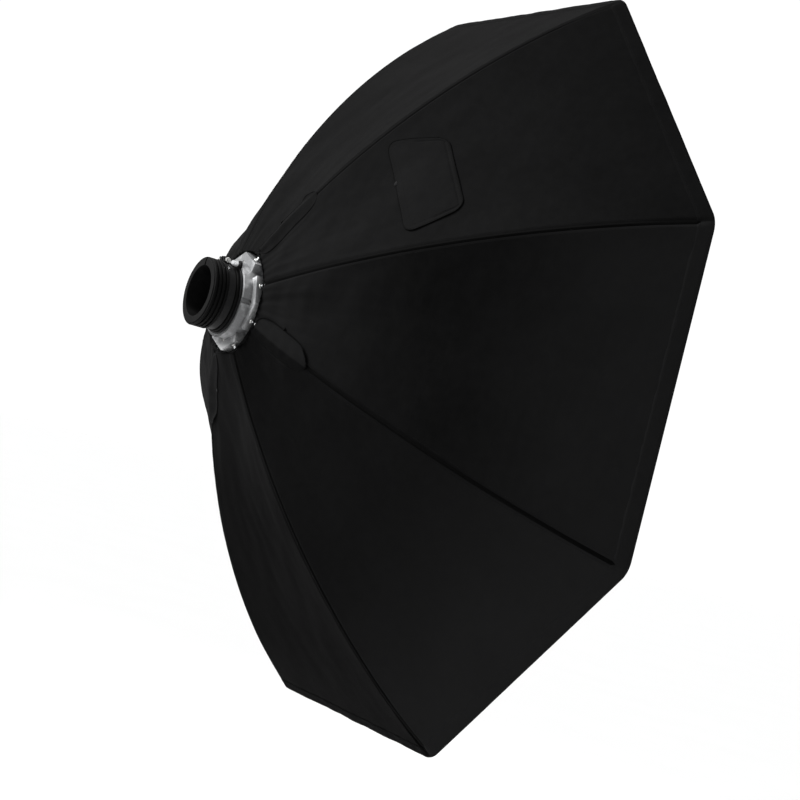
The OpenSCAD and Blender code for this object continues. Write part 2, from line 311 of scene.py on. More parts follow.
binding_tape_and_painted_shade = webbing("black binding tape and painted shade", (0.0004, 0.0004, 0.0004), (0.0010, 0.0010, 0.0010))
strap_tape = webbing("black webbing", (0.006, 0.006, 0.0062), (0.010, 0.010, 0.0102))
elastic = webbing("black elastic", (0.006, 0.006, 0.006), (0.011, 0.011, 0.011), 0.0024, 0.0006)

hooks = Finish("hook tape", ior=1.2)
bed = hooks.node("ShaderNodeTexVoronoi", values={"Vector": hooks.place(), "Scale": 620})
hooks.bump(1 - bed, 0.8, 0.0009)
hooks.colour(hooks.blend(bed, (0.008, 0.008, 0.008), (0.002, 0.002, 0.002)))
hooks.roughness(bed * 0.3 + 0.45)

thread = Finish("black thread", ior=1.1, sheen_weight=0.005)
twist = thread.cloud(900, 2, 0.5)
thread.bump(twist, 0.5, 0.0003)
thread.colour(thread.blend(twist, (0.0035, 0.0035, 0.0035), (0.0075, 0.0075, 0.0076)))
thread.roughness(twist * 0.2 + 0.55)
white_thread = Finish("white thread", base_color=(0.78, 0.78, 0.76, 1))
white_thread.bump(white_thread.cloud(900, 2, 0.5), 0.5, 0.0003)
white_thread.roughness(white_thread.cloud(500) * 0.2 + 0.5)
print("tapes and threads are ready")

# %% [markdown]
# ## Metal, paint and rubber
# The rod ring is a sand-fine casting whose faces are left as they come, grey and slightly
# speckled, with brighter patches where hands and rods have rubbed; its lowest lobe is painted
# lighter too, a painted highlight. Turned and drawn steel shows lines along the cut; a plated
# knob is nearly a mirror with small dents. The clamp is powder coated, which dries like orange
# peel, and the collar is moulded rubber with a bloom.

# %% Metals
ring_cast = Finish("cast silver", metallic=1.0, coat_roughness=0.3)
grain = ring_cast.cloud(520, 3, 0.6)
patches = ring_cast.cloud(26, 4, 0.6)
rubbed = patches.over(0.45, 0.7)
ring_cast.bump(grain, 0.35, 0.0004)
ring_cast.bump(patches, 0.15, 0.0012)
below = ring_cast.node("ShaderNodeSeparateXYZ", values={0: ring_cast.place()}, output=2)
# painted highlight: the lowest part of the ring, below 80 to 96 mm, is made lighter
painted_highlight_low = (below * -1).over(0.080, 0.096)
ring_cast.colour(ring_cast.blend(grain * 0.35 + rubbed * 0.5 + painted_highlight_low * 0.6,
                                 (0.085, 0.087, 0.09), (0.62, 0.625, 0.63)))
ring_cast.roughness(0.62 - rubbed * 0.16 + grain * 0.12)

def brushed(name, dark, light, stretch, rough):
    steel = Finish(name, metallic=1.0)
    lines = steel.cloud(160, 4, 0.7, stretch)
    spots = steel.cloud(40, 3)
    steel.bump(lines, 0.25, 0.0003)
    steel.colour(steel.blend(lines * 0.6 + spots * 0.4, dark, light))
    steel.roughness(lines * 0.18 + rough)
    return steel

rod_steel = brushed("drawn rod steel", (0.36, 0.37, 0.38), (0.62, 0.63, 0.64), (1, 8, 1), 0.22)
zinc_steel = brushed("zinc plated steel", (0.40, 0.40, 0.39), (0.66, 0.66, 0.64), (1, 9, 1), 0.25)
chrome = brushed("bright plating", (0.70, 0.71, 0.73), (0.86, 0.87, 0.88), (1, 3, 1), 0.06)
print("metals:", [f.material.name for f in (ring_cast, rod_steel, zinc_steel, chrome)])

# %% Paint and rubber
powder = Finish("black powder coat", ior=1.15, coat_weight=0.03)
peel = powder.cloud(380, 3, 0.55)
scuff = powder.cloud(70, 5, 0.7, (1, 2.5, 1)).over(0.62, 0.72)
powder.bump(peel, 0.3, 0.0005)
powder.colour(powder.blend(scuff * 0.5 + peel * 0.3, (0.004, 0.004, 0.0042),
                           (0.016, 0.016, 0.0165)))
powder.roughness(peel * 0.15 + 0.36)

def moulded(name, dark, light, rough):
    rubber = Finish(name, ior=1.1)
    skin = rubber.cloud(750, 3, 0.6)
    bloom = rubber.cloud(22, 5, 0.65).over(0.4, 0.75)
    rubber.bump(skin, 0.35, 0.0004)
    rubber.colour(rubber.blend(bloom * 0.7 + skin * 0.3, dark, light))
    rubber.roughness(bloom * 0.18 + rough)
    return rubber

collar_rubber = moulded("collar rubber", (0.002, 0.002, 0.002), (0.006, 0.006, 0.006), 0.55)
cap_rubber = moulded("cap rubber", (0.006, 0.006, 0.006), (0.014, 0.014, 0.014), 0.6)

floor_paint = Finish("pale floor", specular_ior_level=0.2)
floor_paint.colour(floor_paint.blend(floor_paint.cloud(1.5, 3), (0.93, 0.93, 0.93),
                                     (0.95, 0.95, 0.95)))
floor_paint.roughness(floor_paint.cloud(9, 3) * 0.1 + 0.75)
floor.data.materials.append(floor_paint.material)
print("paint and rubber are ready")

# %% [markdown]
# ## Dressing the metal
# Machined and cast edges are never knife sharp. A Weld modifier joins the corners that the
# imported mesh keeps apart, then a Bevel rounds only the edges that turn sharply, so the flats
# stay flat and each edge catches a thin line of light.

# %% Hard parts keep their shape
SHARP = math.radians(38)
HARD_PARTS = {
    "adapter_tube": (powder, 0.0005), "clamp_band": (powder, 0.0003),
    "clamp_lever": (powder, 0.0005), "rubber_collar": (collar_rubber, 0.0007),
    "draw_bolt": (zinc_steel, 0.0003), "draw_nut": (zinc_steel, 0.0004),
    "cam_pin": (zinc_steel, 0.0003), "retaining_ring": (zinc_steel, 0.0002),
    "ring_screws": (zinc_steel, 0.0004), "lock_knob": (chrome, 0.0003),
    "rod_ring": (ring_cast, 0.0012), "ring_front_plate": (ring_cast, 0.0006),
    "rod_tip_caps": (cap_rubber, 0.0004),
    **{f"rod_{k}": (rod_steel, 0.0005) for k in range(1, 9)},
}
for name, (finish, edge) in HARD_PARTS.items():
    part = nodes[name]
    part.data.materials.clear()
    part.data.materials.append(finish.material)
    if "custom_normal" in part.data.attributes:
        part.data.attributes.remove(part.data.attributes["custom_normal"])
    part.data.polygons.foreach_set("use_smooth", [True] * len(part.data.polygons))
    weld = part.modifiers.new("join corners", "WELD")
    weld.merge_threshold = 1e-5
    bevel = part.modifiers.new("soft edges", "BEVEL")
    bevel.width, bevel.segments, bevel.limit_method = edge, 2, "ANGLE"
    bevel.angle_limit, bevel.harden_normals = SHARP, True
print("hard parts dressed:", len(HARD_PARTS))

# %% [markdown]
# ## The shape that the cloth follows
# Every rod takes the same bow, an arc of 1566 mm radius whose centre lies 396 mm beyond the
# optical axis. At any arc angle the shell is an octagon, so a point on a gore needs three
# numbers: the gore, the distance from its first seam, and the arc angle. `on_gore` turns them
# into a place in space and adds the cloth's own relief: a shallow sag between the rods,
# gathers that fan out from the ring, slow creases, and the groove that each seam pulls in.
# A table paints each gore's black lighter or darker from the ring out to the rim: painted light and
# shade.

# %% The bow and the gores
BOW, BEYOND, ROD_DEPTH = 1.566, 0.396, 0.0087
HALF = math.radians(22.5)
CLOTH = 0.0008
RIM_R, HEM_R, THROAT_R = 0.8118, 0.7945, 0.108

def arc_angle(r, depth=0.0):
    return math.asin((r + BEYOND) / (BOW - depth))

def bow(a, depth=0.0):
    """Distance from the axis, and Y, at arc angle a."""
    return (BOW - depth) * math.sin(a) - BEYOND, (BOW - depth) * math.cos(a) - BOW

def seam_clock(k):
    return HALF * (2 * k - 1)

def spoke(clock):
    """The unit vector that points away from the axis at a clock angle."""
    return Vector((-math.sin(clock), 0, math.cos(clock)))

def sideways(clock):
    """The unit vector that runs clockwise there."""
    return Vector((-math.cos(clock), 0, -math.sin(clock)))

def point_at(clock, r, y):
    return spoke(clock) * r + Vector((0, y, 0))

def chord(a):
    """The width of a gore at arc angle a."""
    return 2 * bow(a)[0] * math.sin(HALF)

def from_middle(clock):
    """How far a clock angle is from the middle of its gore."""
    return (clock + HALF) % (2 * HALF) - HALF

def bell(x, width):
    return math.exp(-(x / width) ** 2)

def octagon_point(clock, corner_r, corner_round=0.0):
    """The octagon's outline at a clock angle; corners may be rounded."""
    turn = from_middle(clock)
    soft = corner_round * (1 / math.cos(HALF) - 1)
    return corner_r * math.cos(HALF) / math.cos(turn) - soft * bell(
        HALF - abs(turn), 0.5 * corner_round / corner_r + 1e-6)

def ramp(x, low, high):
    """0 at low and 1 at high, and no further."""
    return min(max((x - low) / (high - low), 0.0), 1.0)

def ease(t):
    return t * t * (3 - 2 * t)

def crease(size, x, y, pattern):
    return size * noise.noise(Vector((x, y, pattern)))

RIM_A, HEM_A, THROAT_A = (arc_angle(r) for r in (RIM_R, HEM_R, THROAT_R))

# %% The cloth's own relief
SAG, GROOVE, GROOVE_W = 0.009, 0.0031, 0.0052

def relief(k, s, a, seams=1.0):
    """Height of the cloth over the straight-ruled gore, outwards."""
    r, w = bow(a)[0], chord(a)
    v, t = ramp(s, 0, w), ramp(a, THROAT_A, HEM_A)
    clock = seam_clock(k) + 2 * HALF * v
    edge = min(s, w - s)
    calm = min(1.0, max(edge, 0) / 0.035)
    height = -SAG * 4 * v * (1 - v) * math.sin(math.pi * t) ** 0.8
    near = math.exp((THROAT_R - r) / 0.035)
    far = math.exp((THROAT_R - r) / 0.26)
    x, z = -r * math.sin(clock), r * math.cos(clock)
    height += 0.0008 * near * math.sin(46 * clock + 2 * math.sin(3 * clock))
    height += calm * (
        far * (crease(0.0052, clock * 4.5, r * 2.5, 1) + crease(0.0085, (x + 0.4 * z) * 13, z * 4, 6)
               + crease(0.0036, (x - 0.2 * z) * 34, z * 9, 2))
        + crease(0.0030, clock * 3.2, r * 6, 4) * math.sin(math.pi * min(t + 0.15, 1))
        + crease(0.0009, clock * 14, r * 13, 9))
    groove = -GROOVE * bell(edge, GROOVE_W) + 0.0004 * bell(edge - 0.011, 0.005)
    return height + seams * groove

# Painted light and shade of each gore at the ring, half way and at the rim: below 1 darker, above 1
# lighter
GORE_PAINTED_SHADE = {1: (1.0, 0.76, 0.62), 2: (1.15, 0.55, 1.35), 3: (0.7, 0.78, 1.5), 4: (1.4, 0.5, 0.2),
         5: (1.1, 0.9, 0.8), 6: (0.9, 0.8, 0.8), 7: (0.9, 0.8, 0.8), 8: (0.85, 0.75, 0.75)}

# painted light and shade of gore k at arc angle a
def shade_at(k, a):
    t = ramp(a, THROAT_A, HEM_A) * 2
    ring, middle, rim = GORE_PAINTED_SHADE[k]
    low, high, t = (ring, middle, t) if t < 1 else (middle, rim, t - 1)
    return low + (high - low) * ease(t)

def rounding(r):
    """Radius of the octagon's corners: sharp over the rods, rounded at the rim."""
    return 0.050 * ease(ramp(r, 0.70, RIM_R))

def gore_normal(k, a):
    out = spoke(seam_clock(k) + HALF)
    return (out * math.sin(a) + Vector((0, math.cos(a) * math.cos(HALF), 0))).normalized()

def skin_normal(k, s, a):
    """The gore's normal, turned half way to its neighbour's at a seam, so that both meet."""
    own, edge = gore_normal(k, a), max(min(s, chord(a) - s), 0.0)
    beside = k % 8 + 1 if s > chord(a) / 2 else (k - 2) % 8 + 1
    turn = 0.5 * max(0.0, 1 - edge / 0.018) ** 2
    return own.lerp(gore_normal(beside, a), turn).normalized()

def on_gore(k, s, a, lift=0.0, seams=1.0):
    r, y = bow(a)
    w, middle = chord(a), seam_clock(k) + HALF
    out, along = spoke(middle), sideways(middle)
    rho, inset, place = rounding(r), 0.0, s
    cut = rho * math.tan(HALF)
    edge = min(s, w - s)
    if edge < cut:
        turn = HALF * (1 - edge / cut)
        inset, moved = rho * (1 - math.cos(turn)), cut - rho * math.sin(turn)
        place = moved if s < w / 2 else w - moved
    base = out * (r * math.cos(HALF) - inset) + along * (place - w / 2) + Vector((0, y, 0))
    return base + skin_normal(k, s, a) * (relief(k, s, a, seams) + lift)

print("gore width at throat and hem:", round(chord(THROAT_A), 4), round(chord(HEM_A), 4))

# %% [markdown]
# ## Making pieces
# Most of the cloth is a grid of points, rows by columns. One helper makes the faces, another
# makes the object, gives it its finishes and `threads`, and ties it to its body. Thickness is
# added by a Solidify modifier, so that each sheet has an edge, an outside and a lining.

# %% Grids, pieces and thickness
def grid_faces(rows, cols, wrap=False, keep=None):
    reach = cols if wrap else cols - 1
    return [(i * cols + j, i * cols + (j + 1) % cols, (i + 1) * cols + (j + 1) % cols,
             (i + 1) * cols + j)
            for i in range(rows - 1) for j in range(reach) if keep is None or keep(i, j)]

def tube_faces(rows, cols):
    """The faces of rings joined into a tube with closed ends."""
    last = (rows - 1) * cols
    return grid_faces(rows, cols, wrap=True) + [
        tuple(reversed(range(cols))), tuple(range(last, last + cols))]

def joined(parts):
    """Several (points, faces, threads) made into one."""
    points, faces, threads = [], [], []
    for more, more_faces, more_threads in parts:
        faces += [tuple(len(points) + v for v in f) for f in more_faces]
        points += more
        threads += more_threads
    return points, faces, threads

def make_piece(name, points, faces, finishes, body, stands_for=(), threads=None,
               shades=None):
    mesh = bpy.data.meshes.new(name)
    mesh.from_pydata([tuple(p) for p in points], [], faces)
    for finish in finishes:
        mesh.materials.append(finish.material)
    mesh.shade_smooth()
    flat = threads or [(p[0], p[2], 0) for p in points]
    stored = mesh.attributes.new("threads", "FLOAT_VECTOR", "POINT")
    stored.data.foreach_set("vector", [x for t in flat for x in t])
    # painted light and shade for each point, 1 where none is painted
    painted_shade_store = mesh.attributes.new("shade", "FLOAT", "POINT")
    painted_shade_store.data.foreach_set("value", shades or [1.0] * len(points))
    piece = bpy.data.objects.new(name, mesh)
    bpy.context.scene.collection.objects.link(piece)
    if stands_for:
        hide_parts(*stands_for)
    if isinstance(body, str):
        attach(piece, body)
    return piece

def thicken(piece, thickness, lined=False):
    solid = piece.modifiers.new("thickness", "SOLIDIFY")
    solid.thickness, solid.offset = thickness, -1
    solid.use_even_offset = False
    if lined:
        solid.material_offset = 1
    return piece

def strip(name, stations, finish, body, stands_for=(), closed=False, threads=None,
          shades=None):
    """Skins a list of equal cross-sections; closed joins the last to the first."""
    cols = len(stations[0])
    points = [p for section in stations for p in section]
    faces = [tuple(v % len(points) for v in f) for f in grid_faces(len(stations) + closed, cols)]
    return make_piece(name, points, faces, [finish], body, stands_for, threads, shades)

print("grid of 3 x 4 has", len(grid_faces(3, 4)), "faces")

# %% [markdown]
# Stitches are real geometry too. Each one is a small spindle of six corners laid along the
# cloth, a little longer than the gap that follows it; a whole row is one mesh.

# %% Stitches
STITCH, GAP, THREAD_R = 0.0030, 0.0016, 0.00042

def spindle(start, end, normal):
    along = (end - start).normalized()
    side = along.cross(normal).normalized()
    up = side.cross(along)
    return [start, *((start + end) / 2 + way * THREAD_R for way in (side, up, -side, -up)), end]

SPINDLE_FACES = [(0, i + 1, (i + 1) % 4 + 1) for i in range(4)] + [
    (5, (i + 1) % 4 + 1, i + 1) for i in range(4)]

def sew(name, runs, body, finish=thread):
    """runs are lists of (point, normal) along the lines to be sewn."""
    stitches = []
    for run in runs:
        travelled, due = 0.0, 0.0
        for (p, n), (q, _) in zip(run, run[1:]):
            length = (q - p).length
            while due + STITCH <= travelled + length:
                start = p.lerp(q, max(0.0, (due - travelled) / length))
                end = p.lerp(q, (due + STITCH - travelled) / length)
                stitches.append((spindle(start, end, n), SPINDLE_FACES, []))
                due += STITCH + GAP
            travelled += length
    points, faces, _ = joined(stitches)
    return make_piece(name, points, faces, [finish], body)

def spread(first, last, count):
    return [first + (last - first) * i / (count - 1) for i in range(count)]

def ring_line(count, radius_of, y_of, facing):
    """(point, normal) pairs once round the axis, as sew() needs."""
    return [(point_at(c, radius_of(c), y_of(c)), Vector((0, facing, 0)))
            for c in spread(0, 2 * math.pi, count)]

print("one stitch every", round((STITCH + GAP) * 1000, 1), "mm")

# %% [markdown]
# ## The eight gores
# Each gore is cut as a long trapezium and sewn to its neighbours along the rods. The grid is
# dense beside the seams, where the groove is only a few millimetres wide, and open between.
# At seams 1, 3, 5 and 7 the cloth leaves a slit near the ring, so that the rods can be pushed
# into it from outside; the first gore also has a port for reaching the lamp.

# %% Slits and port
FLAP_IN, FLAP_OUT = 0.112, 0.256
SLIT_IN, SLIT_OUT, SLIT_W = arc_angle(0.122), arc_angle(0.242), 0.015
PORT_ROWS, PORT_SHARES = (0.412, 0.488), (0.30, 0.74)

def slit_half(a):
    if not SLIT_IN < a < SLIT_OUT:
        return 0.0
    return SLIT_W * math.sqrt(math.sin(math.pi * (a - SLIT_IN) / (SLIT_OUT - SLIT_IN)))

EDGE_STEPS = [0, 0.0012, 0.0024, 0.0036, 0.0050, 0.0068, 0.0090, 0.0120, 0.0160]
MIDDLE_SHARES = [0.10 + 0.02 * i for i in range(41)]

def gore_columns(k, a):
    """Distances from the gore's first seam, for one row."""
    w = chord(a)
    first, last = (slit_half(a) if k % 2 == odd else 0.0 for odd in (1, 0))
    steps = [e * min(1.0, 0.095 * w / EDGE_STEPS[-1]) for e in EDGE_STEPS]
    low, high = (max(slit + steps[-1], 0.1 * w) for slit in (first, last))
    middle = [low + (w - low - high) * (v - 0.1) / 0.8 for v in MIDDLE_SHARES]
    return [first + e for e in steps] + middle + [w - last - e for e in reversed(steps)]

GORE_ROWS = sorted(set(
    spread(THROAT_A, arc_angle(0.27), 34) + spread(arc_angle(0.27), HEM_A + 0.004, 84)
    + [arc_angle(r) for r in PORT_ROWS]))
gore_area = sum(chord((a + b) / 2) * BOW * (b - a) for a, b in zip(GORE_ROWS, GORE_ROWS[1:]))
gore_length = BOW * (HEM_A - THROAT_A)
print("gore rows", len(GORE_ROWS), "cut area", round(gore_area, 4), "m2, length",
      round(gore_length, 3))

# %% Sew the gores
gores = {}
for k in range(1, 9):
    columns = [gore_columns(k, a) for a in GORE_ROWS]
    places = [(s, a) for a, row in zip(GORE_ROWS, columns) for s in row]
    points = [on_gore(k, s, a) for s, a in places]
    threads = [(s - chord(a) / 2, a * BOW, 0) for s, a in places]

    def open_cell(i, j):
        a = (GORE_ROWS[i] + GORE_ROWS[i + 1]) / 2
        share = (columns[i][j] + columns[i][j + 1]) / 2 / chord(a)
        low, high = (arc_angle(r) for r in PORT_ROWS)
        return k == 1 and low < a < high and PORT_SHARES[0] < share < PORT_SHARES[1]

    faces = grid_faces(len(GORE_ROWS), len(columns[0]), keep=lambda i, j: not open_cell(i, j))
    # each gore's painted light and shade, from the ring out to the rim
    shades = [shade_at(k, a) for _, a in places]
    gores[k] = make_piece(f"gore_{k}", points, faces, [canvas, lining], "softbox",
                          [f"panel_{k}"], threads, shades)
    thicken(gores[k], CLOTH, lined=True)
print("gores sewn:", len(gores), "each", len(points), "points")

# %% [markdown]
# ## Seams
# The gores meet in a shallow groove with a black binding sewn over it; the binding is made far
# darker than the canvas as painted shade of the groove, so the seams read as dark lines. It is
# laid from one gore to the next by `across_seam`, highest in the middle.
# Beside it, on each gore, runs a row of topstitching. Under a rod flap there is no binding:
# the slit is there instead.

# %% Seam tapes and topstitching
TAPE_W = 0.0042

def across_seam(k, x, a, lift, seams=1.0):
    """A point at x from seam k: below 0 on the gore before it, above 0 on its own gore."""
    before = (k - 2) % 8 + 1
    gore, s = (before, chord(a) + x) if x < 0 else (k, x)
    return on_gore(gore, s, a, lift, seams), skin_normal(gore, s, a)

for k in range(1, 9):
    sections, threads = [], []
    for a in spread(SLIT_OUT if k % 2 == 1 else THROAT_A, HEM_A + 0.003, 110):
        sections.append([across_seam(k, x, a, 0.0021 - 0.42 * abs(x))[0]
                         for x in spread(-TAPE_W, TAPE_W, 7)])
        threads += [(x * TAPE_W / 3, a * BOW, 0) for x in range(-3, 4)]
    # near-black binding: real tape, darkened as painted shade of the groove
    tape = strip(f"seam_tape_{k}", sections, binding_tape_and_painted_shade, "softbox",
                 threads=threads)
    thicken(tape, 0.0005)

def gore_line(k, s_of, angles, lift=0.0003):
    return [(on_gore(k, s_of(a), a, lift), gore_normal(k, a)) for a in angles]

TOPSTITCH = 0.0098
runs, outer = [], spread(arc_angle(0.262), HEM_A, 130)
whole = spread(arc_angle(0.114), HEM_A, 150)
for k in range(1, 9):
    runs.append(gore_line(k, lambda a: TOPSTITCH, outer if k % 2 == 1 else whole))
    runs.append(gore_line(k, lambda a: chord(a) - TOPSTITCH, outer if k % 2 == 0 else whole))
sew("seam_topstitching", runs, "softbox")
print("seam stitch rows:", len(runs))

# %% [markdown]
# ## The rim hem
# The edge of the shell is folded over a tape and sewn down twice, which makes a band 20 mm
# wide that is a little thicker than the gores. Its section is one path: out over the gore,
# round the lip, and back inside. Swept round the octagon it would have sharp corners, so
# `rounding` has already eased them.

# %% Rim hem
HEM_INNER = arc_angle(0.7915)
LIP_R = 0.0024
HEM_POINTS = 14
# How far the outside of the band stands off the gore, and how much it follows the groove
HEM_PUFFS = [(-0.0005, 1), (0.0007, 0.8), (0.0009, 0.5), (0.0008, 0.25), (0.0011, 0.1), (0.0010, 0)]

def hem_section(k, s):
    share = s / chord(RIM_A)
    pucker = crease(0.0004, seam_clock(k) * 40 + s * 90, 1.5, 0)
    n = gore_normal(k, RIM_A)
    section = [on_gore(k, share * chord(a), a, puff + pucker, dip)
               for a, (puff, dip) in zip(spread(HEM_INNER, RIM_A, 6), HEM_PUFFS)]
    tip, before = section[-1], on_gore(k, share * chord(RIM_A - 0.004), RIM_A - 0.004,
                                       0.0012 + pucker, seams=0)
    ahead = (tip - before).normalized()
    centre = tip - n * LIP_R
    section += [centre + n * LIP_R * math.cos(t) + ahead * LIP_R * math.sin(t)
                for t in (math.radians(turn) for turn in (35, 70, 105, 140, 175))]
    inside = centre - n * LIP_R
    section += [inside - ahead * x for x in (0.006, 0.014, 0.026)]
    return section

sections, threads, shades = [], [], []
w, cut = chord(RIM_A), rounding(RIM_R) * math.tan(HALF)
for k in range(1, 9):
    for s in spread(0, cut, 12) + spread(cut, w - cut, 62)[1:] + spread(w - cut, w, 12)[1:-1]:
        sections.append(hem_section(k, s))
        threads += [(s, 0.003 * i, 0) for i in range(len(sections[-1]))]
        # the gore's painted light and shade at the rim
        shades += [shade_at(k, RIM_A)] * len(sections[-1])
# Sections run outwards, stations clockwise, so the faces turn the other way from a gore's
sections = sections[::-1]
threads = [threads[i * HEM_POINTS + j] for i in reversed(range(len(sections)))
           for j in range(HEM_POINTS)]
rim_hem = strip("rim_hem_band", sections, canvas, "softbox", ["rim_hem"],
                closed=True, threads=threads, shades=shades[::-1])
thicken(rim_hem, 0.0008)

hem_runs = []
for k in range(1, 9):
    for r, lift in ((0.7965, 0.0009), (0.8085, 0.0012)):
        a = arc_angle(r)
        hem_runs.append([(on_gore(k, s, a, lift, seams=0), gore_normal(k, a))
                         for s in spread(0.004, chord(a) - 0.004, 90)])
sew("hem_stitching", hem_runs, "softbox")
print("hem sections:", len(sections))

# %% [markdown]
# ## The throat
# At the ring the shell ends in a gathered cuff: the cloth rolls inwards over the rods, drops
# between them and is held flat against the ring's front plate. The gathers are a ripple round
# the axis that is strongest at the rolled edge. Where a rod passes, the cuff has a
# buttonhole, made by leaving out the cells that lie too near the rod.

# %% Throat cuff
CUFF = [(0.1085, -0.0838, 0.3), (0.1062, -0.0818, 0.8), (0.1035, -0.0812, 1.0),
        (0.1015, -0.0822, 1.0), (0.1004, -0.0842, 0.8), (0.1000, -0.0866, 0.5),
        (0.0999, -0.0886, 0.3), (0.0998, -0.0906, 0.2), (0.0998, -0.0928, 0.2),
        (0.0998, -0.0955, 0.1), (0.0997, -0.1000, 0.0), (0.0995, -0.1036, 0.0),
        (0.0975, -0.1050, 0.0), (0.0900, -0.1052, 0.0), (0.0800, -0.1052, 0.0),
        (0.0712, -0.1052, 0.0), (0.0704, -0.1046, 0.0)]
AROUND = 480
ROD_Y = bow(arc_angle(0.100, ROD_DEPTH), ROD_DEPTH)[1]

def cuff_point(clock, row):
    r, y, gather = CUFF[row]
    ripple = gather * (math.sin(58 * clock + 1.5 * math.sin(4 * clock))
                       + 0.5 * math.sin(91 * clock))
    flat = octagon_point(clock, 1.0)
    polygon = (flat, (flat + 1) / 2, 1.0)[min(row, 2)]
    return point_at(clock, r * polygon + 0.0006 * ripple, y + 0.0007 * ripple * (row < 4))

points = [cuff_point(2 * math.pi * j / AROUND, i) for i in range(len(CUFF))
          for j in range(AROUND)]

def clear_of_rods(i, j):
    clock = 2 * math.pi * (j + 0.5) / AROUND
    middle = sum((cuff_point(clock, i + d) for d in (0, 1)), Vector()) / 2
    nearest = min(abs(clock - seam_clock(k)) for k in range(1, 9)) * 0.1
    return not (nearest < 0.0052 and abs(middle.y - ROD_Y) < 0.0047)

# Rows run inwards here, so the columns are taken the other way round
faces = [f[::-1] for f in grid_faces(len(CUFF), AROUND, wrap=True, keep=clear_of_rods)]
threads = [(2 * math.pi * j / AROUND * 0.1, i * 0.004, 0) for i in range(len(CUFF))
           for j in range(AROUND)]
cuff = make_piece("throat_cuff", points, faces, [canvas, lining], "softbox",
                  ["throat_hem"], threads)
thicken(cuff, 0.0007)
sew("cuff_stitching", [ring_line(240, lambda c: 0.1063, lambda c: -0.0806, 1)], "softbox")
print("cuff cells left out for rods:", (len(CUFF) - 1) * AROUND - len(faces))

# %% [markdown]
# ## Rod flaps
# A leaf-shaped flap covers each slit. One side is sewn to its gore; the other lies over the
# neighbouring gore, held by hook tape. It bulges over the rod and its free edge has a narrow
# rolled hem with a small tab. The cloth bends at the sewn edge, and the flap's cloth is shaped
# in place along that bend.

# %% Rod flaps
FREE_W, SEWN_W, BEND = 0.032, 0.024, 0.014
CROWN = {1: 0.0026, 3: 0.0046, 5: 0.0064, 7: 0.0052}
FLAP_ROWS, FREE_COLS, SEWN_COLS = 44, 13, 9

def leaf(t, power, root):
    return max(0.0, 1 - abs(2 * t - 1) ** power) ** root

def flap_point(k, t, u):
    """t runs away from the ring; u from -1 at the free edge to 1 at the sewn edge."""
    a = arc_angle(FLAP_IN) * (1 - t) + arc_angle(FLAP_OUT) * t
    free, sewn = FREE_W * leaf(t, 4, 0.5), SEWN_W * leaf(t, 6, 0.5)
    x = u * (free if u < 0 else sewn)
    crown = CROWN[k] * math.sin(math.pi * t) ** 0.6 * math.cos(math.pi / 2 * u) ** 2
    gape = 0.0060 * bell(t - 0.93, 0.07) * max(0.0, -u - 0.1)
    ripple = 0.0004 * math.sin(t * 31 + k) * (1 - u * u)
    rest = 0.0005 + 0.0010 * max(-u, 0.0) ** 2
    return across_seam(k, x, a, rest + crown + gape + ripple, seams=0)

FLAP_US = [-1 + i / FREE_COLS for i in range(FREE_COLS)] + [
    i / SEWN_COLS for i in range(SEWN_COLS + 1)]
flap_area = 0
for k in CROWN:
    points, threads, shades = [], [], []
    for t in spread(0.004, 0.996, FLAP_ROWS):
        for u in FLAP_US:
            points.append(flap_point(k, t, u)[0])
            threads.append((u * 0.03, t * 0.15, 0))
            # painted light and shade of the gore under each side of the flap, as at the ring
            shades.append(shade_at(k if u > 0 else (k - 2) % 8 + 1, THROAT_A))
    flap = make_piece(f"rod_flap_cloth_{k}", points, grid_faces(FLAP_ROWS, len(FLAP_US)),
                      [canvas], None, [f"rod_flap_{k}"], threads, shades)
    thicken(flap, 0.0010)
    a = arc_angle((FLAP_IN + FLAP_OUT) / 2)
    sewn_at, free_at = (across_seam(k, x, a, 0)[0] for x in (SEWN_W, SEWN_W - BEND))
    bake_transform(flap)
    flap_area = sum(p.area for p in flap.data.polygons)
print("rod flap area", round(flap_area * 1e4, 1), "cm2")

# %% Flap edging and stitches
def bead(path, radius, squash, sides=8):
    """A rolled hem: an oval section carried along (point, normal) pairs, with closed ends."""
    points, threads = [], []
    for i, (p, n) in enumerate(path):
        q, b = path[min(i + 1, len(path) - 1)][0], path[max(i - 1, 0)][0]
        side = (q - b).normalized().cross(n).normalized()
        points += [p + side * radius * math.cos(2 * math.pi * j / sides)
                   + n * radius * squash * math.sin(2 * math.pi * j / sides)
                   for j in range(sides)]
        threads += [(j * radius, i * 0.003, 0) for j in range(sides)]
    return points, tube_faces(len(path), sides), threads

def bead_piece(name, path, radius, squash, finish, body, stands_for=()):
    points, faces, threads = bead(path, radius, squash)
    return make_piece(name, points, faces, [finish], body, stands_for, threads)

def tab_mesh(centre, along, out, up, length, width, thickness):
    """A small folded tab with rounded end, as a closed plate."""
    outline = [(0, -width / 2), (0, width / 2)] + [
        (length - width / 2 + width / 2 * math.cos(t), width / 2 * math.sin(t))
        for t in (math.radians(d) for d in range(80, -81, -20))]
    top = [centre + out * x + along * y + up * thickness for x, y in outline]
    low = [centre + out * x + along * y for x, y in outline]
    n = len(outline)
    faces = [tuple(range(n)), tuple(reversed(range(n, 2 * n)))] + [
        (i, n + i, n + (i + 1) % n, (i + 1) % n) for i in range(n)]
    return top + low, faces

def flap_line(k, u, inset, count, lift=0.0):
    path = [flap_point(k, t, u) for t in spread(inset, 1 - inset, count)]
    return [(p + n * lift, n) for p, n in path]

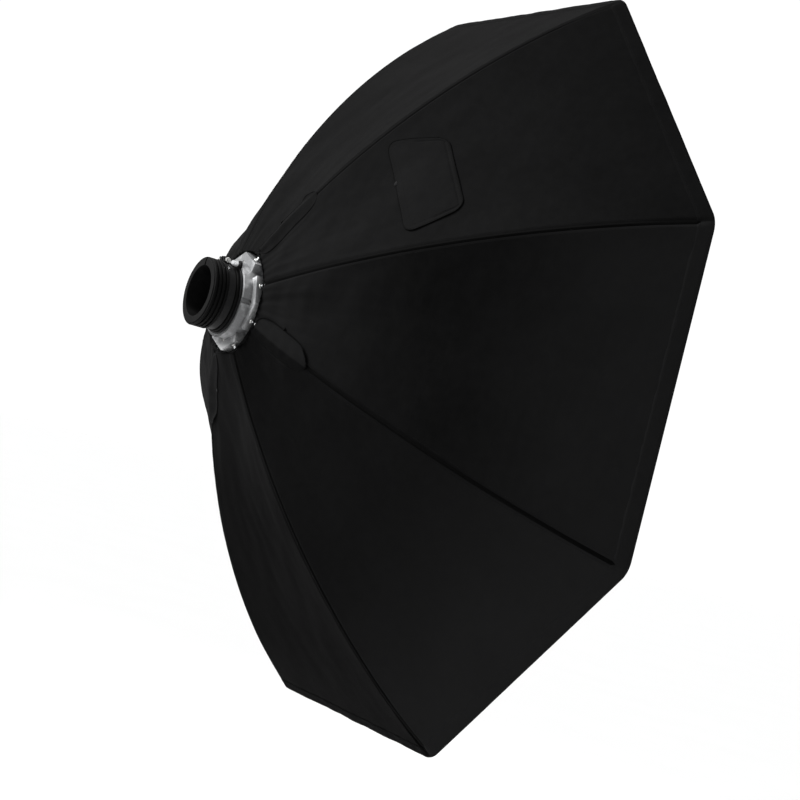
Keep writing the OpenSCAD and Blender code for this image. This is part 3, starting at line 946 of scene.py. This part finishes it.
for k in CROWN:
    centre, up = flap_point(k, 0.5, -0.98)
    along = (flap_point(k, 0.52, -1)[0] - flap_point(k, 0.48, -1)[0]).normalized()
    away = up.cross(along).normalized()
    if away.dot(centre - flap_point(k, 0.5, 0)[0]) < 0:
        away = -away
    tab, tab_faces = tab_mesh(centre, along, away, up, 0.006, 0.007, 0.0010)
    points, faces, threads = joined([
        bead(flap_line(k, -1, 0.01, 60), 0.0007 if k == 1 else 0.0013, 0.7),
        (tab, tab_faces, [(0, 0, 0)] * len(tab))])
    # lit and shaded copies of the hem: near-black tape on flaps 1 and 3 paints a shadow line on
    # their free edge, lighter webbing on 5 and 7 a lit edge
    make_piece(f"rod_flap_edging_{k}", points, faces, [binding_tape_and_painted_shade if k < 4 else strap_tape],
               f"rod_flap_{k}", threads=threads)
    sew(f"rod_flap_stitches_{k}", [flap_line(k, -0.86, 0.04, 50, 0.0003)], f"rod_flap_{k}")
    sew(f"rod_flap_seam_{k}", [flap_line(k, 0.94, 0.06, 50, 0.0004)], "softbox")
print("rod flaps edged")

# %% [markdown]
# ## The port
# The port flap is a rounded patch sewn along its outer edge, with a double row of stitches,
# a near-black bead tucked just under its edge as a painted shadow outline, and a tab to pull
# it up by.
# Underneath, the opening is bound with tape and has hooks on three sides to hold the flap.

# %% Port flap
# Distance from the axis and share of the gore's width: two inner corners, two outer ones
PORT_CORNERS = [Vector(c) for c in ((0.404, 0.075), (0.395, 0.866), (0.507, 0.289), (0.501, 0.776))]
PORT_ROUND, PORT_LIFT = 0.024, 0.0016

def port_place(p, q):
    """p goes from the first side to the second, q from the inner edge to the sewn one."""
    first, second, third, fourth = PORT_CORNERS
    r, v = first.lerp(second, p).lerp(third.lerp(fourth, p), q)
    return arc_angle(r), v

PORT_LONG = BOW * (arc_angle(0.504) - arc_angle(0.400))
PORT_WIDE = 0.215

def rounded_share(q):
    """How far the sides draw in at q, as a share of the width, to round the corners."""
    room = min(q, 1 - q) * PORT_LONG
    if room >= PORT_ROUND:
        return 0.0
    return (PORT_ROUND - math.sqrt(PORT_ROUND ** 2 - (PORT_ROUND - room) ** 2)) / PORT_WIDE

def port_point(p, q, lift=0.0):
    draw = rounded_share(q)
    a, v = port_place(draw + (1 - 2 * draw) * p, q)
    edge = min(p * PORT_WIDE, (1 - p) * PORT_WIDE, q * PORT_LONG, (1 - q) * PORT_LONG)
    hem = 0.0005 * (1 - ramp(edge, 0.009, 0.011))
    hem -= 0.0016 * bell(edge - 0.0085, 0.0020) * (1 if q > 0.5 else 0.3)
    billow = 0.0034 * math.sin(math.pi * p) * math.sin(math.pi * q) ** 0.8
    up = PORT_LIFT + hem + billow + crease(0.0008, p * 4, q * 4, 2.2) + lift
    return on_gore(1, v * chord(a), a, up, seams=0), gore_normal(1, a)

def eased(count, edge):
    """Shares that crowd towards both ends."""
    near = [edge * i / 10 for i in range(10)]
    return near + spread(edge, 1 - edge, count) + [1 - x for x in reversed(near)]

ps, qs = eased(26, 0.075), eased(18, 0.13)
points = [port_point(p, q)[0] for q in qs for p in ps]
threads = [(p * PORT_WIDE, q * PORT_LONG, 0) for q in qs for p in ps]
# the port flap is given a little painted shade: 0.95 of the usual grey
port_flap = make_piece("port_flap_cloth", points, grid_faces(len(qs), len(ps)), [canvas], None,
                       ["port_flap"], threads, [0.95] * len(points))
thicken(port_flap, 0.0014)
port_point(0.5, 0.985)[0]
port_point(0.5, 0.86)[0]
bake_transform(port_flap)

def port_edge(inset):
    """Once round the three free sides, at a share inset from the edge."""
    side = [(inset * 0.5, q) for q in spread(0.84, inset, 24)]
    foot = [(p, inset) for p in spread(inset * 0.5, 1 - inset * 0.5, 40)]
    back = [(1 - inset * 0.5, q) for q in spread(inset, 0.84, 24)]
    return [port_point(p, q, 0.0003) for p, q in side + foot[1:-1] + back]

def port_side(corners, count=40):
    """A line through (p, q) corners, just under the flap's edge."""
    line = [(p0 + (p1 - p0) * t, q0 + (q1 - q0) * t)
            for (p0, q0), (p1, q1) in zip(corners, corners[1:])
            for t in spread(0, 1, count)[:-1]]
    return [port_point(p, q, -0.0004) for p, q in (*line, corners[-1])]

# near-black beads just under the flap's edge and its sewn side: painted shadow outlining the flap
for name, corners, body in (
        ("port_flap_painted_shadow_line", [(0, 0.86), (0, 0), (1, 0), (1, 0.86)], "port_flap"),
        ("port_seam_painted_shadow_line", [(0, 0.87), (0, 1), (1, 1), (1, 0.87)], "softbox")):
    bead_piece(name, port_side(corners), 0.0013, 0.8, binding_tape_and_painted_shade, body)

sew("port_flap_stitches", [port_edge(0.03), port_edge(0.12)], "port_flap")
sew("port_flap_seam", [[port_point(p, q, 0.0003) for p in spread(0.03, 0.97, 60)]
                       for q in (0.975, 0.92)], "softbox")
centre, up = port_point(0.43, 0.01)
along = (port_point(0.47, 0.01)[0] - port_point(0.39, 0.01)[0]).normalized()
away = (centre - port_point(0.43, 0.1)[0]).normalized()
tab, tab_faces = tab_mesh(centre - away * 0.003, along, away, up, 0.007, 0.011, 0.0005)
make_piece("port_flap_tab", tab, tab_faces, [strap_tape], "port_flap")
print("port flap", round(PORT_WIDE, 3), "x", round(PORT_LONG, 3), "m")

# %% Port binding and hook strips
def gore_patch(name, corners, lift, finish, stands_for=()):
    """Strips of tape laid on the first gore; corners are (r low, r high, v low, v high)."""
    patches = []
    for r0, r1, v0, v1 in corners:
        places = [(v * chord(a), a) for a in spread(arc_angle(r0), arc_angle(r1), 12)
                  for v in spread(v0, v1, 12)]
        patches.append(([on_gore(1, s, a, lift, seams=0) for s, a in places],
                        grid_faces(12, 12), [(s, a * BOW, 0) for s, a in places]))
    points, faces, threads = joined(patches)
    thicken(make_piece(name, points, faces, [finish], "softbox", stands_for,
                       threads), 0.0008)

(low, high), (left, far) = PORT_ROWS, PORT_SHARES
gore_patch("port_binding", [(low - 0.005, low + 0.001, left - 0.016, far + 0.016),
                            (high - 0.001, high + 0.005, left - 0.016, far + 0.016),
                            (low, high, left - 0.016, left), (low, high, far, far + 0.016)],
           0.0006, binding_tape_and_painted_shade)
gore_patch("port_hook_strips", [(low - 0.0055, low - 0.0005, left + 0.06, far),
                                (low, high - 0.020, left - 0.034, left - 0.002),
                                (low, high - 0.020, far + 0.002, far + 0.034)],
           0.0009, hooks, ["port_tape"])
print("port opening", PORT_ROWS, "m from the axis")

# %% [markdown]
# ## Inside: sleeves, pockets and hook tape
# Each rod runs in a sleeve of light cloth that hangs from its seam and ends in a pocket of
# doubled webbing at the rim. The sleeve's section is a drop: a tube round the rod with a web
# up to the seam. Inside the lip a wide band of hook tape holds the front.

# %% Rod sleeves
def along_rod(k, a, depth):
    return point_at(seam_clock(k), *bow(a, depth))

def drop_section(k, a, radius, web_top):
    centre = along_rod(k, a, ROD_DEPTH)
    up = (spoke(seam_clock(k)) * math.sin(a) + Vector((0, math.cos(a), 0))).normalized()
    side = sideways(seam_clock(k))
    loose = radius + crease(0.0004, a * 90, k * 3.1, 0)
    ring = [centre + side * loose * math.cos(t) + up * loose * math.sin(t)
            for t in (math.radians(d) for d in range(70, -251, -32))]
    return [centre + up * web_top + side * 0.0005, *ring, centre + up * web_top - side * 0.0005]

def rod_cloth(name, start, stop, count, radius, web_top, finish, stands_for, flare=None):
    tubes = []
    for k in range(1, 9):
        points, threads = [], []
        for i, a in enumerate(spread(start, stop, count)):
            size = flare(i / (count - 1)) if flare else 1.0
            section = drop_section(k, a, radius * size, web_top * size)
            points += section
            threads += [(j * 0.003, a * BOW, 0) for j in range(len(section))]
        tubes.append((points, [f[::-1] for f in tube_faces(count, len(section))], threads))
    points, faces, threads = joined(tubes)
    make_piece(name, points, faces, [finish], "softbox", stands_for, threads)

ROD_END = arc_angle(RIM_R - 0.034, ROD_DEPTH)
rod_cloth("rod_sleeve_cloth", arc_angle(0.266, ROD_DEPTH), ROD_END - 0.0215, 90, 0.0038, 0.0046,
          canvas, ["rod_sleeves"])
rod_cloth("rod_pockets", ROD_END - 0.0225, ROD_END + 0.0040, 16, 0.0047, 0.0048, strap_tape,
          ["corner_pockets"], flare=lambda t: 1 if t < 0.85 else 1 - 2.6 * (t - 0.85))
print("sleeves end at arc angle", round(math.degrees(ROD_END), 2))

# %% Octagon sheets
def octagon_band(name, outer, inner, y_of, finish, body, stands_for=(), thickness=0.001):
    points, threads, rows, around = [], [], 6, 480
    for i in range(rows):
        share = i / (rows - 1)
        for j in range(around):
            clock = 2 * math.pi * j / around
            r = octagon_point(clock, outer, 0.03) * (1 - share) + octagon_point(
                clock, inner, 0.02) * share
            points.append(point_at(clock, r, y_of(clock, r)))
            threads.append((share * (outer - inner), clock * outer, 0))
    piece = make_piece(name, points, grid_faces(rows, around, wrap=True), [finish], body,
                       stands_for, threads)
    return thicken(piece, thickness)

hook_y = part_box("hook_tape")[0].y
octagon_band("front_hook_tape", 0.7928, 0.7648, lambda c, r: hook_y, hooks,
             "softbox", ["hook_tape"])
print("hook tape at y", round(hook_y, 4))

# %% [markdown]
# ## The white front and the inner baffle
# The front is one octagon of white cloth pulled tight by its tape border, so it is nearly
# flat: faint radial pulls start at the corners and the middle stands out a few millimetres.
# The baffle hangs inside on eight elastic straps and sags a little between them.

# %% Front
FRONT_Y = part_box("front_diffuser")[0].y + 0.0006

def front_y(clock, r):
    edge = ramp(r, 0.72, 0.47)
    pull = 0.0012 * math.sin(clock * 32) * bell(0.70 - r, 0.16) * edge * 4
    billow = 0.0055 * (1 - ramp(r, 0, 0.73) ** 2)
    slack = crease(0.0016, r * 5 * math.sin(clock), r * 5 * math.cos(clock), 3)
    return FRONT_Y - billow - (pull + slack) * edge - 0.0002 * abs(from_middle(clock))

def octagon_sheet(name, corner_r, y_of, finish, body, stands_for, rings=44, around=192):
    points, threads = [Vector((0, y_of(0, 0), 0))], [(0, 0, 0)]
    for i in range(1, rings + 1):
        share = i / rings
        for j in range(around):
            clock = 2 * math.pi * j / around
            round_r = corner_r * math.cos(HALF) * share
            r = (octagon_point(clock, corner_r, 0.03) * share) * share + round_r * (1 - share)
            p = point_at(clock, r, y_of(clock, r))
            points.append(p)
            threads.append((p.x, p.z, 0))
    faces = [(0, 1 + (j + 1) % around, 1 + j) for j in range(around)]
    faces += [tuple(1 + v for v in f) for f in grid_faces(rings, around, wrap=True)]
    piece = make_piece(name, points, faces, [finish], body, stands_for, threads)
    return thicken(piece, 0.0007)

front = octagon_sheet("front_cloth", 0.7880, front_y, white_cloth,
                      "front_diffuser", ["front_diffuser"])
border_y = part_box("diffuser_border")[0].y
border = octagon_band("front_border", 0.7945, 0.7690, lambda c, r: border_y + 0.0004 +
                      0.0003 * math.sin(c * 60), strap_tape, "front_diffuser",
                      ["diffuser_border"], thickness=0.0009)
sew("front_stitches", [ring_line(400, lambda c: octagon_point(c, r, 0.025), lambda c: border_y, -1)
                       for r in (0.7905, 0.7730)], "front_diffuser")
print("front at y", round(FRONT_Y, 4), "and its border at", round(border_y, 4))

# %% Baffle and straps
BAFFLE_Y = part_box("inner_baffle")[0].y

def baffle_y(clock, r):
    taut = ramp(r, 0, 0.40) ** 2
    pull = 0.0014 * math.cos(8 * clock + math.pi) * taut
    return BAFFLE_Y - 0.004 * (1 - taut) + pull - 0.0014

baffle = octagon_sheet("baffle_cloth", 0.4310, baffle_y, white_cloth,
                       "softbox", ["inner_baffle"], rings=30, around=160)
octagon_band("baffle_hem", 0.4325, 0.4160, lambda c, r: baffle_y(c, r) - 0.0006, white_cloth,
             "softbox", thickness=0.0022)
sew("baffle_stitches", [
    ring_line(300, lambda c: octagon_point(c, r, 0.02), lambda c: baffle_y(c, r) - 0.0008, -1)
    for r in (0.4290, 0.4195)], "softbox", white_thread)

strips, strap_y = [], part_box("baffle_straps")[0].y
for k in range(1, 9):
    points, threads, side = [], [], sideways(seam_clock(k))
    for i, r in enumerate(spread(0.405, 0.471, 22)):
        y = strap_y + 0.0006 + 0.0004 * math.sin(i * 0.9)
        pinch = 1 - 0.12 * math.sin(math.pi * i / 21)
        points += [point_at(seam_clock(k), r, y) + side * (x * 0.010 * pinch)
                   for x in (-1, -0.5, 0, 0.5, 1)]
        threads += [(x * 0.005, r, 0) for x in range(-2, 3)]
    strips.append((points, grid_faces(22, 5), threads))
points, faces, threads = joined(strips)
thicken(make_piece("baffle_elastics", points, faces, [elastic], "softbox",
                   ["baffle_straps"], threads), 0.0010)
print("baffle at y", round(BAFFLE_Y, 4))

# %% [markdown]
# ## Pull loop
# The front is peeled off by a narrow webbing loop that hangs over the rim near the lowest
# left corner. A strap is a path with a flat section; the loop is the same strap bent round.

# %% Pull loop
edge_clock = seam_clock(5) + HALF
out, along = spoke(edge_clock), sideways(edge_clock)
LOOP_ALONG, FLAT = RIM_R * math.sin(HALF) - 0.044, 0.75
loop_y = bow(RIM_A)[1] - 0.0034

def loop_at(x, y, z):
    return out * z + along * (LOOP_ALONG + x) + Vector((0, y, 0))

strap_path = [(border_y - 0.0003, FLAT - 0.032), (border_y - 0.0004, FLAT - 0.022),
              (border_y - 0.0035, FLAT - 0.0180), (loop_y + 0.0030, FLAT - 0.0172),
              (loop_y + 0.0003, FLAT - 0.0145), (loop_y, FLAT - 0.0085),
              (loop_y, FLAT + 0.0005), (loop_y, FLAT + 0.0070)]
sections = [[loop_at(x, y, z) for x in (-0.008, -0.004, 0, 0.004, 0.008)]
            for y, z in strap_path]
threads = [(x * 0.004, i * 0.005, 0) for i in range(len(sections)) for x in range(-2, 3)]
strap = strip("pull_strap", sections, strap_tape, "front_diffuser",
              threads=threads)
thicken(strap, 0.0012)
loop_path = []
for i in range(41):
    t = 2 * math.pi * i / 40
    pear = 1 - 0.16 * math.cos(t)
    loop_path.append((loop_at(0.0118 * pear * math.sin(t), loop_y - 0.0004,
                              FLAT + 0.0200 - 0.0125 * math.cos(t)), Vector((0, -1, 0))))
bead_piece("pull_cord_loop", loop_path, 0.0014, 0.6, elastic, "front_diffuser", ["pull_loop"])
print("pull loop centre", [round(x, 3) for x in loop_at(0, loop_y, FLAT + 0.02)])

# %% [markdown]
# ## Small hardware
# Where each rod enters the ring, a pressed steel eyelet protects the casting. Small parts
# like these are turned profiles: a short outline spun round an axis.

# %% Rod eyelets
def turned(centre, axis, profile, sides=24):
    """profile is (radius, distance along the axis); returns points and faces."""
    first = axis.orthogonal().normalized()
    second = axis.cross(first)
    points = [centre + axis * h + (first * math.cos(2 * math.pi * j / sides)
                                   + second * math.sin(2 * math.pi * j / sides)) * r
              for r, h in profile for j in range(sides)]
    return points, grid_faces(len(profile), sides, wrap=True)

EYELET = [(0.0034, -0.0012), (0.0034, 0.0006), (0.0040, 0.0011), (0.0050, 0.0011),
          (0.0056, 0.0006), (0.0056, -0.0012), (0.0034, -0.0012)]
FACET_R = 0.090
eyelets, a = [], arc_angle(FACET_R, ROD_DEPTH)
for k in range(1, 9):
    centre = along_rod(k, a, ROD_DEPTH)
    axis = (along_rod(k, a + 0.01, ROD_DEPTH) - centre).normalized()
    eyelets.append((*turned(centre, axis, EYELET), []))
points, faces, _ = joined(eyelets)
make_piece("rod_eyelets", points, faces, [zinc_steel], "softbox")
print("eyelets:", len(eyelets))

# %% [markdown]
# ## What the cloth was cut to
# The shell's gores are trapeziums, the front and the baffle octagons, and the flaps leaves and
# rounded patches. The two loops below pass over the gores and the flaps and change nothing.

for k, gore in gores.items():
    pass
for k in CROWN:
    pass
print("sheets declared:", len(gores) + 7)

# %% Sizes, and the end
visual_box = [list(corner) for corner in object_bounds()]
for name, box in (("cad", cad_box), ("visual", visual_box)):
    print(name, [[round(x, 4) for x in corner] for corner in box])
